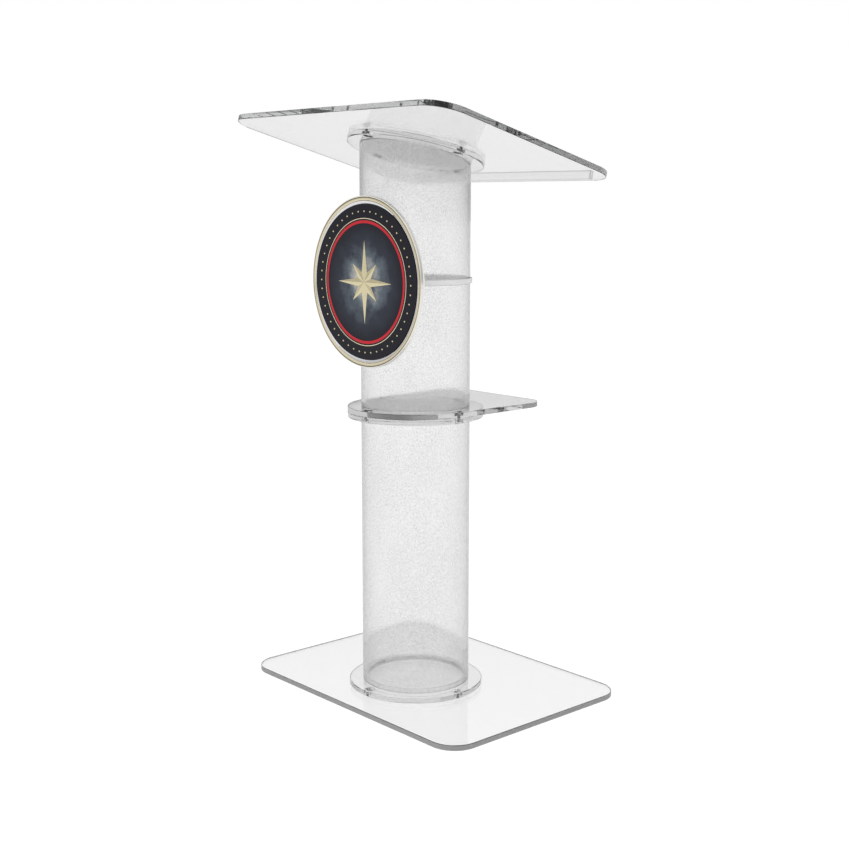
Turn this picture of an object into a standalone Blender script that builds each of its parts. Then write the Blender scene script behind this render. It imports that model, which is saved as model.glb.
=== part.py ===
"""A clear acrylic presentation lectern.

A round column in three lengths stands on a base plate. It carries a side shelf, a
sloping desk with a book stop, and a round sign on the audience's side. Every joint
is a flange held by four screws, or a cemented butt joint.

Frame: metres, +Z up. The column's axis is the Z axis and the underside of the base
plate is z = 0. The audience is on the -Y side and the reader on the +Y side.
"""

import math

import bmesh
import bpy

# Stock: every sheet part is cut from one thickness, and the column is one tube.
SHEET = 0.010
TUBE_RADIUS = 0.100
TUBE_WALL = 0.005
GAP = 0.0003                 # left between pieces that touch

# Base: wider than it is deep, and set back towards the reader.
BASE_WIDTH = 0.588
BASE_DEPTH = 0.432
BASE_CORNER = 0.050
BASE_SETBACK = 0.040

# Flanges: discs that spread each joint of the column.
FLANGE_RADIUS = 0.125

# Locating ring: a slice of the next smaller tube, inside the foot of the column.
LOCATING_RING_RADIUS = 0.0945
LOCATING_RING_WALL = 0.003
LOCATING_RING_HEIGHT = 0.0077

# Shelf: a tongue that is round on the audience's side and square on the reader's.
SHELF_HEIGHT = 0.5315        # its underside
SHELF_REACH = 0.214
SHELF_CORNER = 0.035

# Sign bracket: a disc clamped between two lengths of column, with a tongue in front.
BRACKET_HEIGHT = 0.7655      # its underside
BRACKET_RADIUS = 0.1035
BRACKET_REACH = 0.1105       # from the column's axis to the end of the tongue
TONGUE_HALF_WIDTH = 0.030

# Desk: tilted about X, its underside crossing the column's axis at DESK_HEIGHT.
DESK_WIDTH = 0.590
DESK_DEPTH = 0.432
DESK_CORNER = 0.055
DESK_TILT = math.radians(15.0)
DESK_HEIGHT = 1.0041
DESK_SETBACK = 0.0041        # along the slope, towards the reader
STOP_LENGTH = 0.467
STOP_THICKNESS = 0.010
STOP_RISE = 0.015

# Screws: low-head M6 with a hexagon socket, each in a wide pocket.
BOLT_CIRCLE_RADIUS = 0.1125
POCKET_RADIUS = 0.009
POCKET_DEPTH = 0.0065
SHANK_RADIUS = 0.003
HEAD_RADIUS = 0.005
HEAD_HEIGHT = 0.004
SOCKET_RADIUS = 0.0023       # across corners
SOCKET_DEPTH = 0.0025
SCREW_REACH = 0.010          # shank length of a screw that ends in a sheet
NUT_RADIUS = 0.00577         # across corners
NUT_HEIGHT = 0.005

# Sign: a round backing, a printed panel that is a little wider than it is tall, and two rings.
SIGN_RADIUS = 0.1510
BACKING_THICKNESS = 0.003
RIM_INNER_RADIUS = 0.1425
RIM_HEIGHT = 0.005
INNER_RING_HEIGHT = 0.004
PANEL_HALF_WIDTH = 0.1400
PANEL_HALF_HEIGHT = 0.1366
PANEL_THICKNESS = 0.0045
SIGN_SCREW_SPACING = 0.036
SIGN_SCREW_LENGTH = 0.020
SIGN_SHANK_RADIUS = 0.002
SIGN_HEAD_RADIUS = 0.004
SIGN_HEAD_HEIGHT = 0.002

COLUMN_STEPS = 64
SMALL_STEPS = 12
CORNER_STEPS = 10
WELD_DISTANCE = 0.00001
SHARP_ANGLE = math.radians(30.0)


def clear_scene():
    """Remove every object that the file opened with."""
    for obj in list(bpy.data.objects):
        bpy.data.objects.remove(obj, do_unlink=True)


def new_collection(name):
    collection = bpy.data.collections.new(name)
    bpy.context.scene.collection.children.link(collection)
    return collection


def principled(name, colour, roughness, metallic=0.0, transmission=0.0):
    """A Principled material in one plain colour."""
    material = bpy.data.materials.new(name)
    material.use_nodes = True
    shader = material.node_tree.nodes["Principled BSDF"]
    shader.inputs["Base Color"].default_value = (*colour, 1.0)
    shader.inputs["Roughness"].default_value = roughness
    shader.inputs["Metallic"].default_value = metallic
    shader.inputs["Transmission Weight"].default_value = transmission
    shader.inputs["IOR"].default_value = 1.49
    return material


def empty(name, location=(0, 0, 0), rotation=(0, 0, 0)):
    """A reference frame that other objects are placed in."""
    frame = bpy.data.objects.new(name, None)
    frame.location = location
    frame.rotation_euler = rotation
    PARTS.objects.link(frame)
    return frame


def baked_mesh(obj, name):
    """The evaluated mesh of a scratch object, welded and shaded, without the object."""
    PARTS.objects.link(obj)
    depsgraph = bpy.context.evaluated_depsgraph_get()
    mesh = bpy.data.meshes.new_from_object(obj.evaluated_get(depsgraph))
    bpy.data.objects.remove(obj, do_unlink=True)
    bm = bmesh.new()
    bm.from_mesh(mesh)
    bmesh.ops.remove_doubles(bm, verts=bm.verts, dist=WELD_DISTANCE)
    bmesh.ops.recalc_face_normals(bm, faces=bm.faces)
    bm.to_mesh(mesh)
    bm.free()
    mesh.name = name
    mesh.shade_smooth()
    mesh.set_sharp_from_angle(angle=SHARP_ANGLE)
    return mesh


def turned(name, profile, steps):
    """A solid of revolution about Z.

    The profile is (radius, height) points that run down its outer side. It closes on
    itself unless it starts and ends on the axis.
    """
    points = [(radius, 0.0, height) for radius, height in profile]
    edges = [(i, i + 1) for i in range(len(points) - 1)]
    if profile[0][0] > 0.0:
        edges.append((len(points) - 1, 0))
    mesh = bpy.data.meshes.new(name)
    mesh.from_pydata(points, edges, [])
    obj = bpy.data.objects.new(name, mesh)
    screw = obj.modifiers.new("Turn", "SCREW")
    screw.axis = "Z"
    screw.steps = steps
    screw.render_steps = steps
    screw.use_merge_vertices = True
    screw.merge_threshold = WELD_DISTANCE
    return baked_mesh(obj, name)


def disc(name, radius, low, high, steps=COLUMN_STEPS):
    """A solid disc between two heights."""
    return turned(name, [(0.0, high), (radius, high), (radius, low), (0.0, low)], steps)


def ring(name, outer, inner, low, high, steps=COLUMN_STEPS):
    """A hollow cylinder between two heights."""
    return turned(name, [(outer, high), (outer, low), (inner, low), (inner, high)], steps)


def arc(centre_x, centre_y, radius, start, sweep, steps):
    """Points along an arc, angles in degrees, anticlockwise for a positive sweep."""
    points = []
    for i in range(steps + 1):
        angle = math.radians(start + sweep * i / steps)
        points.append((centre_x + radius * math.cos(angle), centre_y + radius * math.sin(angle)))
    return points


def rounded_rectangle(width, depth, corner, setback=0.0):
    """The outline of a rectangle with round corners, its centre set back along +Y."""
    x = width / 2 - corner
    y = depth / 2 - corner
    corners = [(x, y, 0), (-x, y, 90), (-x, -y, 180), (x, -y, 270)]
    outline = []
    for centre_x, centre_y, start in corners:
        outline += arc(centre_x, centre_y + setback, corner, start, 90, CORNER_STEPS)
    return outline


def shelf_outline():
    """A half disc round the column, with straight sides back to two round corners."""
    x = FLANGE_RADIUS - SHELF_CORNER
    y = SHELF_REACH - SHELF_CORNER
    outline = arc(0, 0, FLANGE_RADIUS, 180, 180, COLUMN_STEPS // 2)
    outline += arc(x, y, SHELF_CORNER, 0, 90, CORNER_STEPS)
    outline += arc(-x, y, SHELF_CORNER, 90, 90, CORNER_STEPS)
    return outline


def bracket_outline():
    """A disc with a square tongue on the audience's side."""
    half_angle = math.degrees(math.asin(TONGUE_HALF_WIDTH / BRACKET_RADIUS))
    outline = arc(0, 0, BRACKET_RADIUS, -90 + half_angle, 360 - 2 * half_angle, COLUMN_STEPS)
    outline += [(-TONGUE_HALF_WIDTH, -BRACKET_REACH), (TONGUE_HALF_WIDTH, -BRACKET_REACH)]
    return outline


def panel_outline(clearance):
    """The oval of the printed panel, grown by a clearance."""
    outline = []
    for x, y in arc(0, 0, 1.0, 0, 360, COLUMN_STEPS)[:-1]:
        outline.append((x * (PANEL_HALF_WIDTH + clearance), y * (PANEL_HALF_HEIGHT + clearance)))
    return outline


def sheet(name, outline, low, high):
    """A flat plate cut to an outline, between two heights."""
    curve = bpy.data.curves.new(name, "CURVE")
    curve.dimensions = "2D"
    curve.fill_mode = "BOTH"
    curve.extrude = (high - low) / 2
    spline = curve.splines.new("POLY")
    spline.points.add(len(outline) - 1)
    for point, (x, y) in zip(spline.points, outline):
        point.co = (x, y, 0.0, 1.0)
    spline.use_cyclic_u = True
    mesh = baked_mesh(bpy.data.objects.new(name, curve), name)
    for vertex in mesh.vertices:
        vertex.co.z += (high + low) / 2
    return mesh


def part(name, mesh, material, frame, location=(0, 0, 0), rotation=(0, 0, 0)):
    """Place one piece of the lectern in its frame."""
    obj = bpy.data.objects.new(name, mesh)
    if not mesh.materials:
        mesh.materials.append(material)
    obj.parent = frame
    obj.location = location
    obj.rotation_euler = rotation
    PARTS.objects.link(obj)
    return obj


def cutter(name, mesh, frame, location=(0, 0, 0), rotation=(0, 0, 0)):
    """Place a shape that only cuts others."""
    obj = bpy.data.objects.new(name, mesh)
    obj.parent = frame
    obj.location = location
    obj.rotation_euler = rotation
    obj.hide_render = True
    obj.display_type = "WIRE"
    CUTTERS.objects.link(obj)
    return obj


def cut(obj, tool):
    """Take the tool's shape out of an object."""
    boolean = obj.modifiers.new("Cut " + tool.name, "BOOLEAN")
    boolean.operation = "DIFFERENCE"
    boolean.solver = "EXACT"
    boolean.object = tool


def bolt_places(centre_y=0.0):
    """Number, x and y of the four screws: audience's side, right, reader's side, left."""
    places = []
    for number in (1, 2, 3, 4):
        angle = math.radians(90 * number - 180)
        x = BOLT_CIRCLE_RADIUS * math.cos(angle)
        y = BOLT_CIRCLE_RADIUS * math.sin(angle) + centre_y
        places.append((number, x, y))
    return places


def socket_screw(name, shank_length):
    """A low-head screw pointing down, with the underside of its head at z = 0."""
    profile = [(0.0, HEAD_HEIGHT), (HEAD_RADIUS, HEAD_HEIGHT), (HEAD_RADIUS, 0.0),
               (SHANK_RADIUS, 0.0), (SHANK_RADIUS, -shank_length), (0.0, -shank_length)]
    socket = disc("hex_socket", SOCKET_RADIUS, HEAD_HEIGHT - SOCKET_DEPTH, 2 * HEAD_HEIGHT, 6)
    obj = bpy.data.objects.new(name, turned(name, profile, SMALL_STEPS))
    tool = cutter("hex_socket", socket, None)
    cut(obj, tool)
    mesh = baked_mesh(obj, name)
    bpy.data.objects.remove(tool, do_unlink=True)
    return mesh


def hexagon_nut(name):
    """A plain nut, its lower face at z = 0."""
    obj = bpy.data.objects.new(name, disc(name, NUT_RADIUS, 0.0, NUT_HEIGHT, 6))
    bore = disc("nut_bore", SHANK_RADIUS + GAP, -NUT_HEIGHT, 2 * NUT_HEIGHT, SMALL_STEPS)
    tool = cutter("nut_bore", bore, None)
    cut(obj, tool)
    mesh = baked_mesh(obj, name)
    bpy.data.objects.remove(tool, do_unlink=True)
    return mesh


def pocket_cutter(name, reach):
    """A pocket that opens upwards at z = 0, with a screw hole below it to a depth."""
    hole = SHANK_RADIUS + GAP
    profile = [(0.0, GAP), (POCKET_RADIUS, GAP), (POCKET_RADIUS, -POCKET_DEPTH),
               (hole, -POCKET_DEPTH), (hole, -reach), (0.0, -reach)]
    return turned(name, profile, SMALL_STEPS)


def build_base(frame):
    """Base plate, its flange and locating ring, and the screws that join them."""
    top = 2 * SHEET
    outline = rounded_rectangle(BASE_WIDTH, BASE_DEPTH, BASE_CORNER, BASE_SETBACK)
    plate = part("base_plate", sheet("base_plate", outline, 0.0, SHEET), CLEAR, frame)
    flange = part("base_flange", disc("base_flange", FLANGE_RADIUS, SHEET + GAP, top), CLEAR, frame)
    inner = LOCATING_RING_RADIUS - LOCATING_RING_WALL
    ring_top = top + LOCATING_RING_HEIGHT
    locating = ring("base_locating_ring", LOCATING_RING_RADIUS, inner, top + GAP, ring_top)
    part("base_locating_ring", locating, CLEAR, frame)
    reach = POCKET_DEPTH + SCREW_REACH + 2 * GAP
    pocket = pocket_cutter("base_pocket", reach)
    screw = socket_screw("base_screw", SCREW_REACH)
    for number, x, y in bolt_places():
        tool = cutter(f"base_pocket_{number}", pocket, frame, (x, y, top))
        cut(plate, tool)
        cut(flange, tool)
        part(f"base_screw_{number}", screw, STEEL, frame, (x, y, top - POCKET_DEPTH + GAP))


def build_shelf(frame):
    """Shelf plate on its flange, clamped together by bolts and nuts in pockets."""
    top = SHELF_HEIGHT + SHEET
    bottom = SHELF_HEIGHT - SHEET
    plate = part("shelf_plate", sheet("shelf_plate", shelf_outline(), SHELF_HEIGHT, top), CLEAR, frame)
    disc_mesh = disc("shelf_flange", FLANGE_RADIUS, bottom, SHELF_HEIGHT - GAP)
    flange = part("shelf_flange", disc_mesh, CLEAR, frame)
    shank = 2 * (SHEET - POCKET_DEPTH) + NUT_HEIGHT + GAP
    bolt = socket_screw("shelf_bolt", shank)
    nut = hexagon_nut("shelf_nut")
    pocket = pocket_cutter("shelf_pocket", SHEET + GAP)
    turn_over = (math.pi, 0, 0)
    for number, x, y in bolt_places():
        cut(plate, cutter(f"shelf_pocket_{number}", pocket, frame, (x, y, top)))
        cut(flange, cutter(f"flange_pocket_{number}", pocket, frame, (x, y, bottom), turn_over))
        part(f"shelf_bolt_{number}", bolt, STEEL, frame, (x, y, top - POCKET_DEPTH + GAP))
        nut_height = bottom + POCKET_DEPTH - GAP - NUT_HEIGHT
        part(f"shelf_nut_{number}", nut, STEEL, frame, (x, y, nut_height))


def build_column(frame, desk_frame):
    """The three lengths of tube; the top one is cut to the slope of the desk."""
    inner = TUBE_RADIUS - TUBE_WALL
    lengths = [
        ("lower_column", 2 * SHEET + GAP, SHELF_HEIGHT - SHEET - GAP),
        ("middle_column", SHELF_HEIGHT + SHEET + GAP, BRACKET_HEIGHT - GAP),
        ("upper_column", BRACKET_HEIGHT + SHEET + GAP, DESK_HEIGHT + TUBE_RADIUS / 2),
    ]
    for name, low, high in lengths:
        tube = part(name, ring(name, TUBE_RADIUS, inner, low, high), TINTED, frame)
    size = 3 * TUBE_RADIUS
    slope = sheet("slope", rounded_rectangle(size, size, SHEET), -SHEET - GAP, TUBE_RADIUS)
    cut(tube, cutter("slope_cut", slope, desk_frame))


def build_desk(frame):
    """Desk plate and book stop on a flange, in the tilted frame of the desk."""
    centre_y = SHEET * math.tan(DESK_TILT)
    outline = rounded_rectangle(DESK_WIDTH, DESK_DEPTH, DESK_CORNER, DESK_SETBACK)
    plate = part("desk_plate", sheet("desk_plate", outline, 0.0, SHEET), CLEAR, frame)
    disc_mesh = disc("desk_flange", FLANGE_RADIUS, -SHEET, -GAP)
    flange = part("desk_flange", disc_mesh, CLEAR, frame, (0, centre_y, 0))
    reach = POCKET_DEPTH + SCREW_REACH + 2 * GAP
    pocket = pocket_cutter("desk_pocket", reach)
    screw = socket_screw("desk_screw", SCREW_REACH)
    turn_over = (math.pi, 0, 0)
    for number, x, y in bolt_places(centre_y):
        tool = cutter(f"desk_pocket_{number}", pocket, frame, (x, y, -SHEET), turn_over)
        cut(plate, tool)
        cut(flange, tool)
        height = -SHEET + POCKET_DEPTH - GAP
        part(f"desk_screw_{number}", screw, STEEL, frame, (x, y, height), turn_over)
    build_book_stop(frame)


def build_book_stop(frame):
    """A strip that stands on the desk along the reader's edge."""
    bm = bmesh.new()
    bmesh.ops.create_cube(bm, size=1.0)
    bmesh.ops.scale(bm, vec=(STOP_LENGTH, STOP_THICKNESS, STOP_RISE), verts=bm.verts)
    mesh = bpy.data.meshes.new("book_stop")
    bm.to_mesh(mesh)
    bm.free()
    y = DESK_SETBACK + (DESK_DEPTH - STOP_THICKNESS) / 2
    part("book_stop", mesh, CLEAR, frame, (0, y, SHEET + GAP + STOP_RISE / 2))


def sign_screw_profile(clearance):
    """Countersunk screw or its hole, flush with the front of the backing disc."""
    head = SIGN_HEAD_RADIUS + clearance
    shank = SIGN_SHANK_RADIUS + clearance
    front = BACKING_THICKNESS + clearance
    land = BACKING_THICKNESS - GAP
    neck = BACKING_THICKNESS - SIGN_HEAD_HEIGHT
    end = BACKING_THICKNESS - SIGN_SCREW_LENGTH - clearance
    return [(0.0, front), (head, front), (head, land), (shank, neck), (shank, end), (0.0, end)]


def build_sign(frame, sign_frame):
    """Bracket in the column, then backing disc, panel and rings stacked towards the audience."""
    low = BRACKET_HEIGHT
    bracket = part("sign_bracket", sheet("sign_bracket", bracket_outline(), low, low + SHEET), CLEAR, frame)
    backing_mesh = disc("sign_backing", SIGN_RADIUS, 0.0, BACKING_THICKNESS)
    backing = part("sign_backing", backing_mesh, CLEAR, sign_frame)
    face = BACKING_THICKNESS + GAP
    panel_mesh = sheet("sign_panel", panel_outline(0.0), face, face + PANEL_THICKNESS)
    part("sign_panel", panel_mesh, PRINT, sign_frame)
    inner_mesh = disc("sign_inner_ring", RIM_INNER_RADIUS - GAP, face, face + INNER_RING_HEIGHT)
    inner = part("sign_inner_ring", inner_mesh, SILVER, sign_frame)
    opening = sheet("panel_opening", panel_outline(GAP), 0.0, 2 * SHEET)
    cut(inner, cutter("panel_opening", opening, sign_frame))
    part("sign_rim", rim_mesh(face), GOLD, sign_frame)
    screw = turned("sign_screw", sign_screw_profile(0.0), SMALL_STEPS)
    hole = turned("sign_screw_hole", sign_screw_profile(GAP), SMALL_STEPS)
    for number, side in ((1, -1), (2, 1)):
        place = (side * SIGN_SCREW_SPACING / 2, 0, 0)
        tool = cutter(f"sign_screw_hole_{number}", hole, sign_frame, place)
        cut(backing, tool)
        cut(bracket, tool)
        part(f"sign_screw_{number}", screw, STEEL, sign_frame, place)


def rim_mesh(face):
    """A ring whose front is rounded over, like a picture frame's bead."""
    middle = (SIGN_RADIUS + RIM_INNER_RADIUS) / 2
    half = (SIGN_RADIUS - RIM_INNER_RADIUS) / 2
    shoulder = face + RIM_HEIGHT / 2
    profile = []
    for i in range(7):
        angle = math.pi * i / 6
        profile.append((middle - half * math.cos(angle), shoulder + RIM_HEIGHT / 2 * math.sin(angle)))
    profile += [(SIGN_RADIUS, face), (RIM_INNER_RADIUS, face)]
    return turned("sign_rim", profile, COLUMN_STEPS)


clear_scene()
PARTS = new_collection("presentation_lectern")
CUTTERS = new_collection("cutters")
CLEAR = principled("clear_acrylic", (0.92, 0.93, 0.93), 0.05, transmission=0.9)
TINTED = principled("frosted_acrylic", (0.82, 0.83, 0.84), 0.25, transmission=0.7)
STEEL = principled("stainless_steel", (0.60, 0.60, 0.61), 0.30, metallic=1.0)
GOLD = principled("gold_trim", (0.72, 0.58, 0.30), 0.30, metallic=1.0)
SILVER = principled("silver_trim", (0.85, 0.85, 0.86), 0.25, metallic=1.0)
PRINT = principled("printed_panel", (0.05, 0.05, 0.07), 0.20)

lectern = empty("lectern")
desk_plane = empty("desk_plane", (0, 0, DESK_HEIGHT), (-DESK_TILT, 0, 0))
sign_place = (0, -BRACKET_REACH - GAP, BRACKET_HEIGHT + SHEET / 2)
sign_plane = empty("sign_plane", sign_place, (math.pi / 2, 0, 0))

build_base(lectern)
build_shelf(lectern)
build_column(lectern, desk_plane)
build_desk(desk_plane)
build_sign(lectern, sign_plane)
bpy.context.view_layer.update()
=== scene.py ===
"""The looks of a clear acrylic presentation lectern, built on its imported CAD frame.

Every plate gets polished arrises and pockets, every screw its thread, knurl and socket,
and the round sign a faceted star on a printed face. Metres, +Z up. The audience is on
the -Y side and the reader on the +Y side.
"""

import math

import bmesh
import bpy
from mathutils import Matrix, Vector


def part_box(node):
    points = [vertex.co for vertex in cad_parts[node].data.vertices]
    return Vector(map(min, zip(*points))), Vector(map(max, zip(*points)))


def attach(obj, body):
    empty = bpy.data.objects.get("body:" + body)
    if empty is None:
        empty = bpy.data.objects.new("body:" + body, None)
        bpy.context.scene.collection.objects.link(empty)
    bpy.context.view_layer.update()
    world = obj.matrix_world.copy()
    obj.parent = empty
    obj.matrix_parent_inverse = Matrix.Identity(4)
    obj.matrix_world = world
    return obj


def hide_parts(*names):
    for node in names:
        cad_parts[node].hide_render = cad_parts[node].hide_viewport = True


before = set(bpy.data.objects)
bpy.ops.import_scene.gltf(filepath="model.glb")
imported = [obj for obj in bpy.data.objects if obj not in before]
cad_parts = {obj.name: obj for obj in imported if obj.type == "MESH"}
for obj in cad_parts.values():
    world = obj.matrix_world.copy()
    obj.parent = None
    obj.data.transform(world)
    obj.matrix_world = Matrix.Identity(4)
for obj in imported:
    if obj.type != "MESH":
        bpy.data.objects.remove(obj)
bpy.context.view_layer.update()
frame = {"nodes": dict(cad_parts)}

# Camera: where it stands, how it is turned in degrees, and its lens in mm.
CAMERA_PLACE = (1.876, -1.640, 0.914)
CAMERA_PITCH = -9.36
CAMERA_HEADING = 48.436
CAMERA_LENS = 57.86
SENSOR_WIDTH = 36.0

# Acrylic sheet and tube.
ARRIS = 0.0008               # polished chamfer along every edge of a sheet
FINE_ARRIS = 0.0004          # the same on tube, pockets, the bracket and the sign
FLAT_TOLERANCE = 0.00001
BASE_CORNER = 0.050
DESK_CORNER = 0.055
SHELF_CORNER = 0.035
BOOK_STOP_CORNER = 0.0015
DESK_TILT = math.radians(15.0)
TONGUE_HALF_WIDTH = 0.030
BRACKET_RADIUS = 0.1035
TUBE_WALL = 0.005
LOCATING_RING_WALL = 0.003
ROUND_STEPS = 192
CORNER_STEPS = 24
SHEET_SHARP_DEGREES = 24.0   # edges that bend more than this are shaded sharp

# Screws: M6 with a knurled low head, M4 countersunk, and M6 nuts.
BOLT_CIRCLE_RADIUS = 0.1125
POCKET_RADIUS = 0.009
POCKET_DEPTH = 0.0065
POCKET_STEPS = 48
HOLE_RADIUS = 0.0033
BLIND_HOLE_END = POCKET_DEPTH + 0.0106   # below the face that the pocket opens in
THROUGH_HOLE_END = 0.0103
THREAD_PITCH = 0.001
THREAD_DEPTH = 0.0005
KNURL_DEPTH = 0.00012
SCREW_STEPS = 72
SCREW_SHARP_DEGREES = 35.0
SCREW_TURN = 17.0            # degrees from one screw's socket to the next one's
SHANK_RADIUS = 0.003
HEAD_RADIUS = 0.005
HEAD_HEIGHT = 0.004
SOCKET_RADIUS = 0.0023
SOCKET_DEPTH = 0.0025
COUNTERSUNK_SHANK_RADIUS = 0.002
COUNTERSUNK_HEAD_RADIUS = 0.004
COUNTERSUNK_HEAD_HEIGHT = 0.002
NUT_RADIUS = 0.00577         # to its corners
NUT_HEIGHT = 0.005
NUT_BORE_RADIUS = 0.0034
FLIP = Matrix.Rotation(math.pi, 4, "X")

# Material slots of a sheet part: its faces, then the finishes of its edges, each greyed with
# painted shade, and the pale one with painted light.
FACE_SLOT = 0
POLISHED_SHADED_SLOT = 1
CLEAR_SLOT = 2
DULL_SHADED_SLOT = 3
GROUND_SLOT = 4
GREY_SLOT = 5
MILLED_SHADED_SLOT = 6
PALE_PAINTED_LIGHT_SLOT = 7

# Where an edge changes its finish and its painted light and shade, as bearings in degrees from the
# column's axis ...
SHELF_PAINTED_LIGHT_FROM = -175.0
SHELF_DULL_SHADE_FROM = -85.0
SHELF_DULL_SHADE_TO = -22.5
FLANGE_SHADE_FROM = -21.0
FLANGE_SHADE_TO = 49.0
RING_SHADE_BEARING = 131.2
# ... and as distances from it.
SHELF_SHADE_BEYOND = 0.165
SHELF_MILLED_SHADE_BEYOND = 0.153
SHELF_MILLED_SHADE_OUTSIDE = 0.111

# Sign.
SIGN_GAP = 0.0003            # between its panel, its inner ring and its rim
INNER_RING_SLOPE = 0.0016    # how much lower the ring is at the panel than at the rim
RIM_STEPS = 12               # along each of the rim's two beads
RIM_SHARP_DEGREES = 60.0
RIM_GROOVE = 0.30            # how far in from the edge, as a share of the rim's width
STAR_POINTS = 8
STAR_LONG = 0.074
STAR_SHORT = 0.046
STAR_WAIST = 0.019
STAR_HEIGHT = 0.0016
STAR_EDGE = 0.0004
STUD_COUNT = 48
STUD_RADIUS = 0.0016
STUD_HEIGHT = 0.7            # as a share of its radius
STUD_STEPS = 16
STUD_SHARP_DEGREES = 40.0
STUD_CIRCLE_RADIUS = 0.124

# Looks of the acrylic.
ACRYLIC_IOR = 1.49
SHEET_COLOUR = (0.95, 0.952, 0.952)
ACRYLIC_TINT = (0.80, 0.806, 0.806)
SHEET_DENSITY = 5.0
TUBE_DENSITY = 42.0
TUBE_TONE = 0.945
TUBE_ROUGHNESS = 0.10
# Painted shade: sheets are greyed inside the column's bore, each by its own amount.
COLUMN_SHADE_COLOUR = (0.60, 0.604, 0.604)
SHELF_COLUMN_SHADE = 0.20            # how much of that colour each sheet takes
BRACKET_COLUMN_SHADE = 0.32
DESK_COLUMN_SHADE = 0.57
COLUMN_SHADE_RADIUS = 0.0945
COLUMN_SHADE_FADE = 0.0015
GRAIN_SCALE = 400.0
BRACKET_SHEEN = (0.30, 0.30, 0.30, 1.0)

# Looks of the sign.
GOLD_SCALE = 240.0
# Painted shade darkens the rim's groove, and a painted highlight pales its outer lip.
RIM_PAINTED_BAND = 0.0009          # width of the dark in the rim's groove
RIM_GROOVE_SHADE_COLOUR = (0.26, 0.21, 0.12, 1.0)
RIM_LIP_HIGHLIGHT_COLOUR = (0.97, 0.95, 0.88, 1.0)
PRINT_RADIUS = 0.140
GLOW_FULL = 0.02             # the glow fades between these two radii
GLOW_GONE = 0.105
RED_RING = (0.735, 0.770)    # inner and outer radius, as shares of PRINT_RADIUS
CREAM_RING = (0.790, 0.797)
PRINT_RED = (0.52, 0.018, 0.030, 1.0)
PRINT_CREAM = (0.80, 0.72, 0.50, 1.0)
BLACK = (0.0, 0.0, 0.0)
WHITE = (1.0, 1.0, 1.0)

# Studio. Reflections see a dimmer floor and sky than the camera does, and a dark flag.
FLOOR_RADIUS = 60.0
FLOOR_STEPS = 128
FLOOR_DROP = 0.0004
FLOOR_GREY = 0.16
FLOOR_GLOW = 0.945
FLOOR_GLOW_IN_MIRRORS = 0.67
SKY_STRENGTH = 1.0
LOW_SKY = 0.13               # heights, as the upward part of a direction
HIGH_SKY = 0.34
LOW_SKY_IN_MIRRORS = 0.50
HIGH_SKY_IN_MIRRORS = 0.80
MIRROR_DEPTH = 2             # the most reflections that still see the dimmer studio
FLAG_DIRECTION = (0.664, 0.748, 0.0)
FLAG_EDGE = 0.3              # the cosine of the angle between its middle and its edge
FLAG_DEPTH = 0.55            # the share of the sky that it takes away at its middle
BOUNCES = 32


def arc(centre_x, centre_y, radius, start, sweep, steps):
    """Points along an arc, angles in degrees, anticlockwise for a positive sweep."""
    points = []
    for i in range(steps + 1):
        angle = math.radians(start + sweep * i / steps)
        points.append((centre_x + radius * math.cos(angle), centre_y + radius * math.sin(angle)))
    return points


def circle(radius, steps=ROUND_STEPS):
    return arc(0, 0, radius, 0, 360, steps)[:-1]


def rounded_rectangle(low, high, corner):
    """The outline of a rectangle with round corners between two opposite points."""
    corners = [
        (high.x - corner, high.y - corner, 0),
        (low.x + corner, high.y - corner, 90),
        (low.x + corner, low.y + corner, 180),
        (high.x - corner, low.y + corner, 270),
    ]
    outline = []
    for x, y, start in corners:
        outline += arc(x, y, corner, start, 90, CORNER_STEPS)
    return outline


def skin(name, rings, closed=False):
    """A mesh through rings of equal counts, capped at its ends or closed on itself."""
    bm = bmesh.new()
    loops = [[bm.verts.new(point) for point in ring] for ring in rings]
    count = len(rings[0])
    pairs = list(zip(loops, loops[1:]))
    if closed:
        pairs.append((loops[-1], loops[0]))
    else:
        bm.faces.new(reversed(loops[0]))
        bm.faces.new(loops[-1])
    for lower, upper in pairs:
        for i in range(count):
            j = (i + 1) % count
            bm.faces.new((lower[i], lower[j], upper[j], upper[i]))
    bmesh.ops.recalc_face_normals(bm, faces=bm.faces)
    mesh = bpy.data.meshes.new(name)
    bm.to_mesh(mesh)
    bm.free()
    return mesh


def at_height(outline, height):
    return [(x, y, height) for x, y in outline]


def plate_mesh(name, outline, low, high, arris=ARRIS):
    """A sheet with chamfered arrises; outline(inset) is its outline drawn in by that much."""
    rings = [
        at_height(outline(arris), low),
        at_height(outline(0.0), low + arris),
        at_height(outline(0.0), high - arris),
        at_height(outline(arris), high),
    ]
    return skin(name, rings)


def turned_mesh(name, profile, steps=ROUND_STEPS, closed=False):
    """A turned body from (radius, height) points; a closed profile makes a ring."""
    rings = [at_height(circle(radius, steps), height) for radius, height in profile]
    return skin(name, rings, closed)


def shade(mesh, sharp_degrees=SHEET_SHARP_DEGREES):
    """Smooth shading, broken along edges sharper than the angle."""
    mesh.shade_smooth()
    mesh.set_sharp_from_angle(angle=math.radians(sharp_degrees))


def piece(name, mesh, materials, slot, *nodes, matrix=None):
    """Put a finished mesh in the scene in place of the CAD nodes that it stands for."""
    if not mesh.materials:
        for material in materials:
            mesh.materials.append(material)
    obj = bpy.data.objects.new(name, mesh)
    bpy.context.scene.collection.objects.link(obj)
    if matrix is not None:
        obj.matrix_world = matrix
    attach(obj, "root")
    if nodes:
        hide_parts(*nodes)
    return obj


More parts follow.
